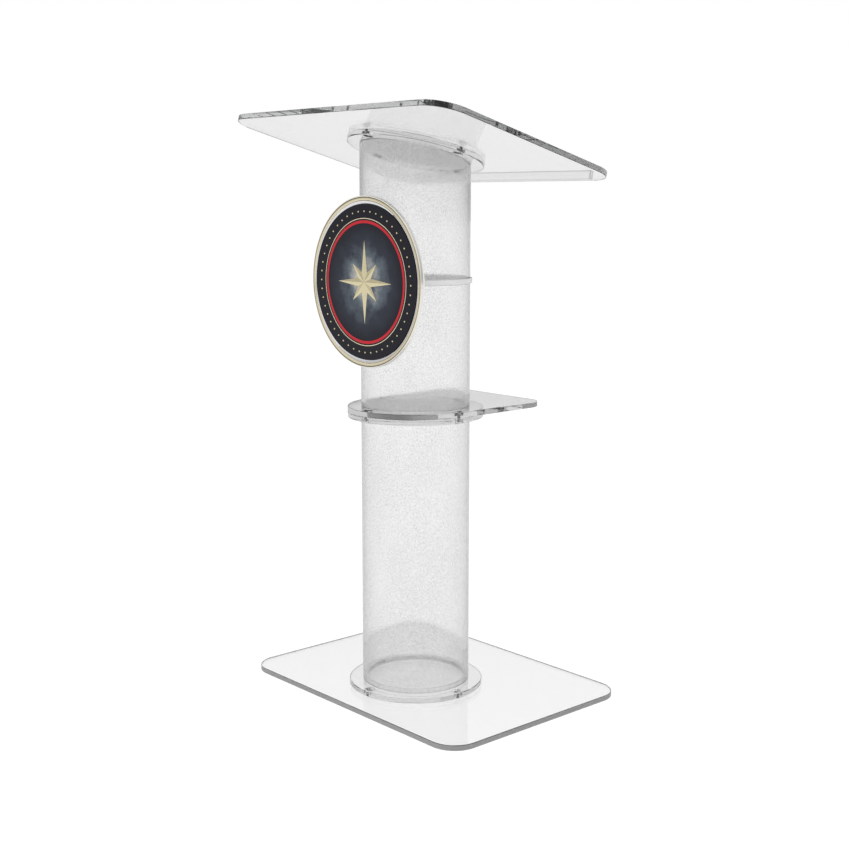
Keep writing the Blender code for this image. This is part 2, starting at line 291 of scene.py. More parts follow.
def with_booleans(mesh, tools, operation="DIFFERENCE"):
    """The mesh after a boolean with each (tool mesh, matrix)."""
    scene = bpy.context.scene.collection
    body = bpy.data.objects.new("body", mesh)
    scene.objects.link(body)
    helpers = []
    for tool_mesh, matrix in tools:
        helper = bpy.data.objects.new("tool", tool_mesh)
        scene.objects.link(helper)
        helper.matrix_world = matrix
        helpers.append(helper)
        boolean = body.modifiers.new("Cut", "BOOLEAN")
        boolean.operation = operation
        boolean.solver = "EXACT"
        boolean.object = helper
    depsgraph = bpy.context.evaluated_depsgraph_get()
    result = bpy.data.meshes.new_from_object(body.evaluated_get(depsgraph))
    result.name = mesh.name
    for obj in helpers + [body]:
        bpy.data.objects.remove(obj, do_unlink=True)
    return result


def mark_edges(mesh, low, high, wall):
    """Give a sheet's faces their slots: face, clear arris, or what wall(place) says."""
    middle = (low + high) / 2
    half_wall = (high - low) / 2 - 2 * ARRIS
    for face in mesh.polygons:
        height = face.center.z
        if min(abs(height - low), abs(height - high)) < FLAT_TOLERANCE:
            face.material_index = FACE_SLOT
        elif abs(height - middle) > half_wall:
            face.material_index = CLEAR_SLOT
        else:
            face.material_index = wall(face.center)


def node(tree, kind, **values):
    """Add a shader node; each value sets the input of that name, with spaces for underscores."""
    made = tree.nodes.new(kind)
    for name, value in values.items():
        made.inputs[name.replace("_", " ")].default_value = value
    return made


def new_material(name, **values):
    """A material with one Principled shader, its inputs set by name."""
    material = bpy.data.materials.new(name)
    material.use_nodes = True
    tree = material.node_tree
    shader = tree.nodes["Principled BSDF"]
    for key, value in values.items():
        shader.inputs[key.replace("_", " ")].default_value = value
    return material, tree, shader


def noise(tree, coordinate, scale, detail=3.0, roughness=0.5, stretch=(1, 1, 1)):
    """The grey value of a noise texture, squeezed along some axes."""
    mapping = node(tree, "ShaderNodeMapping", Scale=stretch)
    tree.links.new(coordinate, mapping.inputs["Vector"])
    texture = node(tree, "ShaderNodeTexNoise", Scale=scale, Detail=detail, Roughness=roughness)
    tree.links.new(mapping.outputs["Vector"], texture.inputs["Vector"])
    return texture.outputs["Fac"]


def remap(tree, value, low, high, to_low, to_high):
    """A value moved from one range to another, held at the ends."""
    made = node(tree, "ShaderNodeMapRange",
                From_Min=low, From_Max=high, To_Min=to_low, To_Max=to_high)
    tree.links.new(value, made.inputs["Value"])
    return made.outputs["Result"]


def spread(tree, grey, low, high):
    """The range that a noise mostly keeps to, moved to another one."""
    return remap(tree, grey, 0.3, 0.7, low, high)


def math_node(tree, operation, first, second=0.0):
    made = tree.nodes.new("ShaderNodeMath")
    made.operation = operation
    for socket, value in zip(made.inputs, (first, second)):
        if isinstance(value, bpy.types.NodeSocket):
            tree.links.new(value, socket)
        else:
            socket.default_value = value
    return made.outputs["Value"]


def ramp_node(tree, value, stops, interpolation="LINEAR"):
    """A colour ramp with the stops given as (position, colour)."""
    made = tree.nodes.new("ShaderNodeValToRGB")
    ramp = made.color_ramp
    ramp.interpolation = interpolation
    while len(ramp.elements) < len(stops):
        ramp.elements.new(1.0)
    for element, (position, colour) in zip(ramp.elements, stops):
        element.position = position
        element.color = (*colour, 1.0)
    tree.links.new(value, made.inputs["Fac"])
    return made.outputs["Color"]


def mix_colour(tree, factor, first, second):
    made = tree.nodes.new("ShaderNodeMix")
    made.data_type = "RGBA"
    sockets = [s for s in made.inputs if s.name == "Factor" and s.type == "VALUE"][:1]
    sockets += [s for s in made.inputs if s.type == "RGBA"]
    for socket, value in zip(sockets, (factor, first, second)):
        if isinstance(value, bpy.types.NodeSocket):
            tree.links.new(value, socket)
        else:
            socket.default_value = value
    return [s for s in made.outputs if s.type == "RGBA"][0]


def bump(tree, shader, height, strength, distance):
    made = node(tree, "ShaderNodeBump", Strength=strength, Distance=distance)
    tree.links.new(height, made.inputs["Height"])
    tree.links.new(made.outputs["Normal"], shader.inputs["Normal"])


def object_coordinate(tree):
    return tree.nodes.new("ShaderNodeTexCoord").outputs["Object"]


def absorb(material, colour, density):
    """Fill a clear material with a faint grey that deepens with the light's path."""
    tree = material.node_tree
    volume = node(tree, "ShaderNodeVolumeAbsorption", Color=(*colour, 1.0), Density=density)
    tree.links.new(volume.outputs["Volume"], tree.nodes["Material Output"].inputs["Volume"])


def distance_from_axis(tree, place, centre, across):
    """How far a place is from an axis; across has a 1 for each direction that counts."""
    shift = node(tree, "ShaderNodeMapping", Scale=across,
                 Location=[-c * a for c, a in zip(centre, across)])
    tree.links.new(place, shift.inputs["Vector"])
    length = tree.nodes.new("ShaderNodeVectorMath")
    length.operation = "LENGTH"
    tree.links.new(shift.outputs["Vector"], length.inputs[0])
    return length.outputs["Value"]


def painted_shade_in_column(tree, place, centre_y, shade_amount):
    """The sheet's colour, greyer inside the closed column as painted shade, with random clouds and
    specks in it.
    """
    away = distance_from_axis(tree, place, (0.0, centre_y, 0.0), (1.0, 1.0, 0.0))
    inside = remap(tree, away, COLUMN_SHADE_RADIUS - COLUMN_SHADE_FADE, COLUMN_SHADE_RADIUS, 1.0, 0.0)
    clouds = spread(tree, noise(tree, place, 30.0), shade_amount - 0.05, shade_amount + 0.02)
    specks = spread(tree, noise(tree, place, GRAIN_SCALE, detail=1.0), -0.14, 0.14)
    depth = math_node(tree, "MULTIPLY", inside, math_node(tree, "ADD", clouds, specks))
    return mix_colour(tree, depth, (*SHEET_COLOUR, 1.0), (*COLUMN_SHADE_COLOUR, 1.0))


def sheet_material(name, column_y=0.0, shade_amount=None):
    """Clear cast sheet with faint smears and hairlines; greyed with painted shade round the
    column's axis if asked.
    """
    material, tree, shader = new_material(name, IOR=ACRYLIC_IOR, Transmission_Weight=1.0)
    shader.inputs["Base Color"].default_value = (*SHEET_COLOUR, 1.0)
    place = object_coordinate(tree)
    if shade_amount is not None:
        column_shaded = painted_shade_in_column(tree, place, column_y, shade_amount)
        tree.links.new(column_shaded, shader.inputs["Base Color"])
    smears = noise(tree, place, 11.0, detail=4.0)
    hairlines = noise(tree, place, 60.0, detail=2.0, stretch=(14.0, 0.6, 6.0))
    wear = math_node(tree, "MAXIMUM", remap(tree, smears, 0.50, 0.78, 0.0, 0.05),
                     remap(tree, hairlines, 0.66, 0.72, 0.0, 0.06))
    tree.links.new(wear, shader.inputs["Roughness"])
    absorb(material, ACRYLIC_TINT, SHEET_DENSITY)
    return material


def edge_material(name, grey, frost=0.0, clarity=1.0):
    """A sheet's edge with fine cutter marks, rougher with frost and less clear below clarity 1; its
    grey is painted shade.
    """
    material, tree, shader = new_material(name, IOR=ACRYLIC_IOR, Transmission_Weight=clarity)
    shader.inputs["Base Color"].default_value = (grey, grey, grey, 1.0)
    place = object_coordinate(tree)
    marks = noise(tree, place, 900.0, detail=2.0, stretch=(1.0, 1.0, 0.05))
    tree.links.new(remap(tree, marks, 0.35, 0.75, frost, frost + 0.03), shader.inputs["Roughness"])
    absorb(material, ACRYLIC_TINT, SHEET_DENSITY)
    return material


def opal_material():
    """White sheet with a faint mottle in its colour and gloss."""
    material, tree, shader = new_material("opal_sheet", Specular_IOR_Level=0.4)
    mottle = noise(tree, object_coordinate(tree), 55.0)
    white = ramp_node(tree, mottle, [(0.3, (0.84, 0.84, 0.83)), (0.7, (0.90, 0.90, 0.89))])
    tree.links.new(white, shader.inputs["Base Color"])
    tree.links.new(spread(tree, mottle, 0.24, 0.34), shader.inputs["Roughness"])
    return material


def tube_material():
    """Extruded tube with a faint frosting and a fine grain."""
    material, tree, shader = new_material("frosted_tube", IOR=ACRYLIC_IOR, Transmission_Weight=1.0)
    place = object_coordinate(tree)
    grain = noise(tree, place, GRAIN_SCALE, detail=1.0)
    clouds = noise(tree, place, 14.0, stretch=(1.0, 1.0, 0.45))
    tone = math_node(tree, "ADD", spread(tree, grain, -0.15, 0.13),
                     spread(tree, clouds, TUBE_TONE - 0.03, TUBE_TONE + 0.03))
    grey = tree.nodes.new("ShaderNodeCombineColor")
    for channel in ("Red", "Green", "Blue"):
        tree.links.new(tone, grey.inputs[channel])
    tree.links.new(grey.outputs["Color"], shader.inputs["Base Color"])
    tree.links.new(spread(tree, grain, TUBE_ROUGHNESS * 0.6, TUBE_ROUGHNESS * 1.4),
                   shader.inputs["Roughness"])
    bump(tree, shader, grain, 0.10, 0.0002)
    absorb(material, ACRYLIC_TINT, TUBE_DENSITY)
    return material


def metal_material(name, colour, low, high, scale, stretch=(1, 1, 1), contrast=0.04):
    """Turned or polished metal: fine lines in its roughness, low to high, and in its colour."""
    material, tree, shader = new_material(name, Metallic=1.0)
    place = object_coordinate(tree)
    lines = noise(tree, place, scale, detail=4.0, stretch=stretch)
    tree.links.new(spread(tree, lines, low, high), shader.inputs["Roughness"])
    dark = [c * (1.0 - contrast) for c in colour]
    light = [min(1.0, c * (1.0 + contrast)) for c in colour]
    tree.links.new(ramp_node(tree, lines, [(0.3, dark), (0.7, light)]), shader.inputs["Base Color"])
    bump(tree, shader, lines, 0.15, 0.00005)
    return material


def rim_material():
    """The sign's gold rim, with a painted highlight on its lip outside and painted shade lying in
    its groove.
    """
    material = metal_material("gold_rim", (0.84, 0.76, 0.55), 0.14, 0.24, scale=GOLD_SCALE)
    tree = material.node_tree
    shader = tree.nodes["Principled BSDF"]
    shader.inputs["Metallic"].default_value = 0.75
    gold = shader.inputs["Base Color"].links[0].from_socket
    low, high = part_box("sign_rim")
    away = distance_from_axis(tree, object_coordinate(tree), (low + high) / 2, (1.0, 0.0, 1.0))
    width = high.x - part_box("sign_inner_ring")[1].x
    groove = high.x - RIM_GROOVE * width
    # Painted highlight on the outer lip, painted shade in the groove.
    lip_highlight = remap(tree, away, groove, groove + RIM_PAINTED_BAND, 0.0, 1.0)
    slope = remap(tree, away, groove - 3.0 * RIM_PAINTED_BAND, groove, 1.0, 0.0)
    inside = mix_colour(tree, slope, RIM_GROOVE_SHADE_COLOUR, gold)
    tree.links.new(mix_colour(tree, lip_highlight, inside, RIM_LIP_HIGHLIGHT_COLOUR), shader.inputs["Base Color"])
    return material


def print_material():
    """The sign's printed face: a soft glow on black, inside two thin printed rings."""
    material, tree, shader = new_material("printed_face", Roughness=0.25, Specular_IOR_Level=0.12,
                                          Coat_Weight=0.08, Coat_Roughness=0.03)
    place = object_coordinate(tree)
    low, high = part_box("sign_panel")
    centre = (low + high) / 2
    radius = distance_from_axis(tree, place, centre, (1.0, 0.0, 1.0))
    across = remap(tree, radius, 0.0, PRINT_RADIUS, 0.0, 1.0)
    clouds = noise(tree, place, 26.0, detail=5.0, roughness=0.6)
    fade = remap(tree, radius, GLOW_FULL, GLOW_GONE, 1.0, 0.0)
    glow = math_node(tree, "MULTIPLY", fade, clouds)
    face = ramp_node(tree, glow, [
        (0.00, (0.010, 0.010, 0.016)),
        (0.20, (0.030, 0.034, 0.050)),
        (0.38, (0.110, 0.135, 0.160)),
        (0.52, (0.330, 0.330, 0.320)),
        (0.66, (0.560, 0.540, 0.480)),
    ])
    for (inner, outer), colour in ((RED_RING, PRINT_RED), (CREAM_RING, PRINT_CREAM)):
        ring = ramp_node(tree, across, [(0.0, BLACK), (inner, WHITE), (outer, BLACK)], "CONSTANT")
        face = mix_colour(tree, ring, face, colour)
    tree.links.new(face, shader.inputs["Base Color"])
    peel = noise(tree, place, 700.0, detail=1.0)
    bump(tree, shader, peel, 0.04, 0.0002)
    return material


CLEAR = sheet_material("clear_sheet")
# Painted shade: each edge's grey darkens it, most on the milled, polished, dull and grey edges. The
# pale edge is painted light: its low clarity lets the sky light its grey.
SHEET_EDGES = (              # in the order of their slots
    edge_material("polished_edge_painted_shade", 0.59),
    edge_material("clear_edge", 0.86),
    edge_material("dull_edge_painted_shade", 0.75, 0.35, 0.84),
    edge_material("ground_edge", 0.97, 0.45, 0.20),
    edge_material("grey_edge", 0.75),
    edge_material("milled_edge_painted_shade", 0.39, 0.35, 0.40),
    edge_material("pale_edge_painted_light", 0.69, 0.45, 0.25),
)
# Painted shade: a grey for half the locating ring's bore.
BORE_SHADE = edge_material("bore_painted_shade", 0.60)
OPAL = opal_material()
TUBE = tube_material()
STEEL = metal_material("stainless_steel", (0.58, 0.58, 0.60), 0.16, 0.34, scale=900.0,
                       stretch=(1, 1, 12), contrast=0.16)
GOLD = metal_material("gold_trim", (0.86, 0.77, 0.50), 0.14, 0.24, scale=GOLD_SCALE)
RIM_GOLD = rim_material()
SILVER = metal_material("silver_trim", (0.93, 0.93, 0.95), 0.06, 0.12, scale=GOLD_SCALE)
PRINT = print_material()


def pocket_tool(hole_end):
    """A screw pocket that opens at z = 0 with a chamfered mouth, and its hole down to hole_end."""
    profile = [
        (POCKET_RADIUS + 2 * FINE_ARRIS, FINE_ARRIS),
        (POCKET_RADIUS, -FINE_ARRIS),
        (POCKET_RADIUS, -POCKET_DEPTH),
        (HOLE_RADIUS, -POCKET_DEPTH),
        (HOLE_RADIUS, -hole_end),
    ]
    mesh = turned_mesh("pocket", profile, POCKET_STEPS)
    for face in mesh.polygons:
        face.material_index = CLEAR_SLOT
    return mesh


def bolt_places(centre_y=0.0):
    """The number and place of each screw on the bolt circle."""
    places = []
    for number in (1, 2, 3, 4):
        angle = math.radians(90 * number - 180)
        x = BOLT_CIRCLE_RADIUS * math.cos(angle)
        y = BOLT_CIRCLE_RADIUS * math.sin(angle) + centre_y
        places.append((number, x, y))
    return places


def even_wall(slot):
    """A rule that gives a whole wall the same finish."""
    return lambda place: slot


def azimuth(place):
    """The bearing of a place from the column's axis, in degrees from +X."""
    return math.degrees(math.atan2(place.y, place.x))


def shelf_wall(place):
    """The shelf's rim, greyed with painted light and shade: pale, dull and clear round its front,
    and milled at one rear corner.
    """
    bearing = azimuth(place)
    if SHELF_DULL_SHADE_FROM < bearing < SHELF_DULL_SHADE_TO:
        return DULL_SHADED_SLOT
    if SHELF_PAINTED_LIGHT_FROM < bearing < SHELF_DULL_SHADE_FROM:
        return PALE_PAINTED_LIGHT_SLOT
    if place.y > SHELF_MILLED_SHADE_BEYOND and place.x > SHELF_MILLED_SHADE_OUTSIDE:
        return MILLED_SHADED_SLOT
    return POLISHED_SHADED_SLOT if place.y > SHELF_SHADE_BEYOND else CLEAR_SLOT


def base_flange_wall(place):
    """The base flange's rim: polished along one stretch, darkened there with painted shade, and
    clear elsewhere.
    """
    polished = FLANGE_SHADE_FROM < azimuth(place) < FLANGE_SHADE_TO
    return POLISHED_SHADED_SLOT if polished else CLEAR_SLOT


def build_plate(name, outline, low, high, wall, matrix=None, tools=(), arris=ARRIS, face=None):
    """A finished sheet part between two heights in its own frame, cut by its tools."""
    mesh = plate_mesh(name, outline, low, high, arris)
    mark_edges(mesh, low, high, wall)
    materials = (face or CLEAR, *SHEET_EDGES)
    if tools:
        for material in materials:
            mesh.materials.append(material)
        mesh = with_booleans(mesh, tools)
    shade(mesh)
    return piece(name + "_finished", mesh, materials, "clear_acrylic", name, matrix=matrix)


def inset_rectangle(low, high, corner):
    def outline(inset):
        step = Vector((inset, inset, 0.0))
        return rounded_rectangle(low + step, high - step, corner - inset)
    return outline


def inset_circle(radius):
    return lambda inset: circle(radius - inset)


def shelf_outline(high):
    """A half circle round the column, with straight sides back to two round corners.

    The right side has one more point, where its milled stretch, darkened with painted shade,
    begins.
    """
    radius = high.x
    x = radius - SHELF_CORNER
    y = high.y - SHELF_CORNER

    def outline(inset):
        side = radius - inset
        points = arc(0, 0, side, 180, 180, ROUND_STEPS // 2)
        points.append((side, SHELF_MILLED_SHADE_BEYOND))
        points += arc(x, y, SHELF_CORNER - inset, 0, 90, CORNER_STEPS)
        points += arc(-x, y, SHELF_CORNER - inset, 90, 90, CORNER_STEPS)
        return points
    return outline


def bracket_outline(low):
    """A disc with a square tongue on the audience's side, as far out as low.y."""
    def outline(inset):
        radius = BRACKET_RADIUS - inset
        half = TONGUE_HALF_WIDTH - inset
        reach = low.y + inset
        half_angle = math.degrees(math.asin(half / radius))
        points = arc(0, 0, radius, -90 + half_angle, 360 - 2 * half_angle, ROUND_STEPS)
        points += [(-half, reach), (half, reach)]
        return points
    return outline


def helix_radius(height, angle, mean, depth):
    """A 60 degree thread as a triangle wave that climbs with the angle."""
    phase = (height / THREAD_PITCH - angle / (2 * math.pi)) % 1.0
    return mean + depth * (abs(2 * phase - 1) - 0.5)


def thread_rings(low, high, radius):
    """Rings up a threaded shank, with its tip drawn in to a point chamfer."""
    steps = round((high - low) / (THREAD_PITCH / 8))
    rings = []
    for i in range(steps + 1):
        height = low + (high - low) * i / steps
        taper = min(1.0, 0.72 + 0.28 * (height - low) / THREAD_PITCH)
        ring = []
        for j in range(SCREW_STEPS):
            angle = 2 * math.pi * j / SCREW_STEPS
            here = helix_radius(height, angle, radius - THREAD_DEPTH / 2, THREAD_DEPTH) * taper
            ring.append((here * math.cos(angle), here * math.sin(angle), height))
        rings.append(ring)
    return rings


def knurled_ring(radius, height, depth=0.0):
    """A ring of points, every second one cut in by the depth."""
    ring = []
    for j in range(SCREW_STEPS):
        angle = 2 * math.pi * j / SCREW_STEPS
        here = radius - (depth if j % 2 else 0.0)
        ring.append((here * math.cos(angle), here * math.sin(angle), height))
    return ring


def hexagon_socket(top):
    """A hexagonal socket with a drilled cone at its bottom."""
    bottom = top - SOCKET_DEPTH
    rings = [
        at_height(circle(SOCKET_RADIUS * 0.1, 6), bottom - 0.0006),
        at_height(circle(SOCKET_RADIUS, 6), bottom),
        at_height(circle(SOCKET_RADIUS, 6), top - 0.0002),
        at_height(circle(SOCKET_RADIUS * 1.2, 6), top + 0.0002),
    ]
    return skin("socket", rings)


def socket_screw_mesh(shank):
    """A knurled low-head socket screw pointing down, the underside of its head at z = 0."""
    rings = thread_rings(-shank, -0.0006, SHANK_RADIUS)
    for radius, height, depth in (
        (0.0024, -0.0005, 0.0),
        (0.0028, 0.0, 0.0),
        (HEAD_RADIUS - 0.0003, 0.0, 0.0),
        (HEAD_RADIUS, 0.0003, 0.0),
        (HEAD_RADIUS, 0.0005, KNURL_DEPTH),
        (HEAD_RADIUS, HEAD_HEIGHT - 0.0010, KNURL_DEPTH),
        (HEAD_RADIUS, HEAD_HEIGHT - 0.0008, 0.0),
        (HEAD_RADIUS - 0.0001, HEAD_HEIGHT - 0.0004, 0.0),
        (HEAD_RADIUS - 0.0005, HEAD_HEIGHT, 0.0),
    ):
        rings.append(knurled_ring(radius, height, depth))
    mesh = skin("socket_screw", rings)
    mesh = with_booleans(mesh, [(hexagon_socket(HEAD_HEIGHT), Matrix.Identity(4))])
    shade(mesh, SCREW_SHARP_DEGREES)
    return mesh


def countersunk_screw_mesh(front, shank_end):
    """A countersunk screw pointing down, its flat head ending at the front height."""
    neck = front - COUNTERSUNK_HEAD_HEIGHT
    rings = thread_rings(shank_end, neck - 0.0003, COUNTERSUNK_SHANK_RADIUS)
    for radius, height in (
        (COUNTERSUNK_SHANK_RADIUS, neck),
        (COUNTERSUNK_HEAD_RADIUS, front - 0.0003),
        (COUNTERSUNK_HEAD_RADIUS, front - 0.0001),
        (COUNTERSUNK_HEAD_RADIUS - 0.0001, front),
    ):
        rings.append(knurled_ring(radius, height))
    mesh = skin("countersunk_screw", rings)
    shade(mesh, SCREW_SHARP_DEGREES)
    return mesh


def nut_mesh():
    """A hexagon nut with turned corners and a threaded bore, its lower face at z = 0."""
    body = skin("nut", [at_height(circle(NUT_RADIUS, 6), z) for z in (0.0, NUT_HEIGHT)])
    flat = NUT_RADIUS * 0.88
    wide = NUT_RADIUS * 1.02
    cone = turned_mesh("cone", [
        (flat, 0.0), (wide, 0.0009), (wide, NUT_HEIGHT - 0.0009), (flat, NUT_HEIGHT),
    ], 96)
    body = with_booleans(body, [(cone, Matrix.Identity(4))], "INTERSECT")
    bore = skin("bore", thread_rings(-0.001, NUT_HEIGHT + 0.001, NUT_BORE_RADIUS))
    flare = turned_mesh("flare", [
        (0.0036, -0.0002), (0.0029, 0.0006),
        (0.0029, NUT_HEIGHT - 0.0006), (0.0036, NUT_HEIGHT + 0.0002),
    ], 48)
    body = with_booleans(body, [(flare, Matrix.Identity(4)), (bore, Matrix.Identity(4))])
    shade(body, SCREW_SHARP_DEGREES)
    return body


def build_screws(prefix, mesh, height, matrix=Matrix.Identity(4), facing=Matrix.Identity(4),
                 centre_y=0.0):
    """Four screws or nuts on the bolt circle, in a sheet's frame."""
    for number, x, y in bolt_places(centre_y):
        name = f"{prefix}_{number}"
        place = matrix @ Matrix.Translation((x, y, height)) @ facing
        place = place @ Matrix.Rotation(math.radians(SCREW_TURN * number), 4, "Z")
        piece(name + "_finished", mesh, (STEEL,), "stainless_steel", name, matrix=place)


def build_tube(name, top_slope=0.0):
    """One length of column; its top follows the slope of the desk."""
    low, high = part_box(name)
    outer = high.x
    inner = outer - TUBE_WALL
    rise = outer * math.tan(top_slope)
    rings = []
    for radius, bottom, inset in (
        (outer - FINE_ARRIS, True, 0.0),
        (outer, True, FINE_ARRIS),
        (outer, False, FINE_ARRIS),
        (outer - FINE_ARRIS, False, 0.0),
        (inner + FINE_ARRIS, False, 0.0),
        (inner, False, FINE_ARRIS),
        (inner, True, FINE_ARRIS),
        (inner + FINE_ARRIS, True, 0.0),
    ):
        ring = []
        for x, y in circle(radius):
            if bottom:
                height = low.z + inset
            else:
                height = high.z - rise - y * math.tan(top_slope) - inset
            ring.append((x, y, height))
        rings.append(ring)
    mesh = skin(name, rings, closed=True)
    shade(mesh)
    piece(name + "_finished", mesh, (TUBE,), "frosted_acrylic", name)


def build_base():
    low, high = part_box("base_plate")
    flange_low, flange_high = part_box("base_flange")
    tool = pocket_tool(BLIND_HOLE_END)
    tools = [(tool, Matrix.Translation((x, y, flange_high.z))) for _, x, y in bolt_places()]
    # The base plate's milled edges are darkened with painted shade.
    build_plate("base_plate", inset_rectangle(low, high, BASE_CORNER), low.z, high.z,
                even_wall(MILLED_SHADED_SLOT), tools=tools)
    build_plate("base_flange", inset_circle(flange_high.x), flange_low.z, flange_high.z,
                base_flange_wall, tools=tools)
    build_locating_ring()
    screw_low, screw_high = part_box("base_screw_1")
    seat = screw_high.z - HEAD_HEIGHT
    build_screws("base_screw", socket_screw_mesh(seat - screw_low.z), seat)


def build_locating_ring():
    """A slice of tube inside the foot of the column, half its bore greyed with painted shade."""
    low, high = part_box("base_locating_ring")
    outer = high.x
    inner = outer - LOCATING_RING_WALL
    profile = [
        (outer, low.z),
        (outer, high.z - FINE_ARRIS),
        (outer - FINE_ARRIS, high.z),
        (inner + FINE_ARRIS, high.z),
        (inner, high.z - FINE_ARRIS),
        (inner, low.z),
    ]
    mesh = turned_mesh("base_locating_ring", profile, closed=True)
    bore = inner + FINE_ARRIS / 2
    bearing = math.radians(RING_SHADE_BEARING)
    shaded_side = Vector((math.cos(bearing), math.sin(bearing)))
    # Painted shade on the half of the bore that faces the shade bearing.
    for face in mesh.polygons:
        place = Vector(face.center[:2])
        shaded_bore = place.length < bore and place.dot(shaded_side) > 0.0
        face.material_index = 1 if shaded_bore else 0
    shade(mesh)
    piece("base_locating_ring_finished", mesh, (CLEAR, BORE_SHADE), "clear_acrylic",
          "base_locating_ring")


def build_shelf():
    low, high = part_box("shelf_plate")
    flange_low, flange_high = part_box("shelf_flange")
    tool = pocket_tool(THROUGH_HOLE_END)
    above = [(tool, Matrix.Translation((x, y, high.z))) for _, x, y in bolt_places()]
    below = [(tool, Matrix.Translation((x, y, flange_low.z)) @ FLIP) for _, x, y in bolt_places()]
    # Shelf sheet greyed with painted shade inside the column.
    column_shaded = sheet_material("clear_shelf_sheet", shade_amount=SHELF_COLUMN_SHADE)
    build_plate("shelf_plate", shelf_outline(high), low.z, high.z, shelf_wall,
                tools=above, face=column_shaded)
    build_plate("shelf_flange", inset_circle(flange_high.x), flange_low.z, flange_high.z,
                even_wall(CLEAR_SLOT), tools=below, face=column_shaded)
    bolt_low, bolt_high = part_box("shelf_bolt_1")
    seat = bolt_high.z - HEAD_HEIGHT
    build_screws("shelf_bolt", socket_screw_mesh(seat - bolt_low.z), seat)
    nut_low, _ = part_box("shelf_nut_1")
    build_screws("shelf_nut", nut_mesh(), nut_low.z)


def build_desk():
    """Desk plate, flange, book stop and screws, in the desk's own tilted frame."""
    nodes = frame["nodes"]
    tilt = Matrix.Rotation(-DESK_TILT, 4, "X")
    level = tilt.inverted()

    def extent(name):
        points = [level @ v.co for v in nodes[name].data.vertices]
        low = Vector([min(p[i] for p in points) for i in range(3)])
        high = Vector([max(p[i] for p in points) for i in range(3)])
        return low, high

    low, high = extent("desk_plate")
    flange_low, flange_high = extent("desk_flange")
    centre_y = ((flange_low + flange_high) / 2).y
    tool = pocket_tool(BLIND_HOLE_END)
    tools = [(tool, Matrix.Translation((x, y, flange_low.z)) @ FLIP)
             for _, x, y in bolt_places(centre_y)]
    # Desk sheet greyed with painted shade inside the column.
    column_shaded = sheet_material("clear_desk_sheet", centre_y, DESK_COLUMN_SHADE)

    def desk_wall(place):
        """Clear along the front and rear edges, and polished round the rest, darkened there with
        painted shade.
        """
        side = low.y + ARRIS < place.y < high.y - ARRIS
        return POLISHED_SHADED_SLOT if side else CLEAR_SLOT

    def flange_outline(inset):
        return [(x, y + centre_y) for x, y in circle(flange_high.x - inset)]

    build_plate("desk_plate", inset_rectangle(low, high, DESK_CORNER), low.z, high.z, desk_wall,
                tilt, tools, face=column_shaded)
    # The desk flange's edge is greyed with painted shade.
    build_plate("desk_flange", flange_outline, flange_low.z, flange_high.z, even_wall(GREY_SLOT),
                tilt, tools, face=column_shaded)
    stop_low, stop_high = extent("book_stop")
    build_plate("book_stop", inset_rectangle(stop_low, stop_high, BOOK_STOP_CORNER),
                stop_low.z, stop_high.z, even_wall(CLEAR_SLOT), tilt)
    screw_low, screw_high = extent("desk_screw_1")
    seat = screw_low.z + HEAD_HEIGHT
    build_screws("desk_screw", socket_screw_mesh(screw_high.z - seat), seat, tilt, FLIP, centre_y)


def star_mesh():
    """A faceted eight-pointed star in low relief, its back at z = 0."""
    rim = []
    for i in range(2 * STAR_POINTS):
        angle = math.pi * i / STAR_POINTS
        if i % 2:
            radius = STAR_WAIST
        else:
            radius = STAR_LONG if i % 4 == 0 else STAR_SHORT
        rim.append((radius * math.sin(angle), radius * math.cos(angle)))
    bm = bmesh.new()
    top = bm.verts.new((0, 0, STAR_HEIGHT))
    upper = [bm.verts.new((x, y, STAR_EDGE)) for x, y in rim]
    lower = [bm.verts.new((x, y, 0.0)) for x, y in rim]
    count = len(rim)
    for i in range(count):
        j = (i + 1) % count
        bm.faces.new((top, upper[j], upper[i]))
        bm.faces.new((upper[i], upper[j], lower[j], lower[i]))
    bm.faces.new(lower)
    bmesh.ops.recalc_face_normals(bm, faces=bm.faces)
    mesh = bpy.data.meshes.new("star")
    bm.to_mesh(mesh)
    bm.free()
    return mesh


def studs_mesh():
    """A circle of small domes, their backs at z = 0."""
    dome = []
    for angle in (0, 20, 40, 60, 80):
        radius = STUD_RADIUS * math.cos(math.radians(angle))
        height = STUD_RADIUS * STUD_HEIGHT * math.sin(math.radians(angle))
        dome.append((radius, height))
    stud = turned_mesh("stud", dome, STUD_STEPS)
    shade(stud, STUD_SHARP_DEGREES)
    bm = bmesh.new()
    for i in range(STUD_COUNT):
        angle = 2 * math.pi * i / STUD_COUNT
        place = (STUD_CIRCLE_RADIUS * math.sin(angle), STUD_CIRCLE_RADIUS * math.cos(angle), 0.0)
        start = len(bm.verts)
        bm.from_mesh(stud)
        bm.verts.ensure_lookup_table()
        bmesh.ops.translate(bm, vec=place, verts=bm.verts[start:])
    mesh = bpy.data.meshes.new("studs")
    bm.to_mesh(mesh)
    bm.free()
    return mesh


def rim_mesh(inner, outer, back, front):
    """The sign's rim: a narrow bead outside a groove and a wide one inside it."""
    shoulder = (back + front) / 2
    profile = [(inner, back), (outer, back)]
    for start, end in ((0.0, RIM_GROOVE), (RIM_GROOVE, 1.0)):
        for i in range(RIM_STEPS + 1):
            turn = math.pi * i / RIM_STEPS
            share = start + (end - start) * (1.0 - math.cos(turn)) / 2
            rise = (front - shoulder) * math.sin(turn)
            if i or not start:
                profile.append((outer - share * (outer - inner), shoulder + rise))
    mesh = turned_mesh("sign_rim", profile, closed=True)
    shade(mesh, RIM_SHARP_DEGREES)
    return mesh


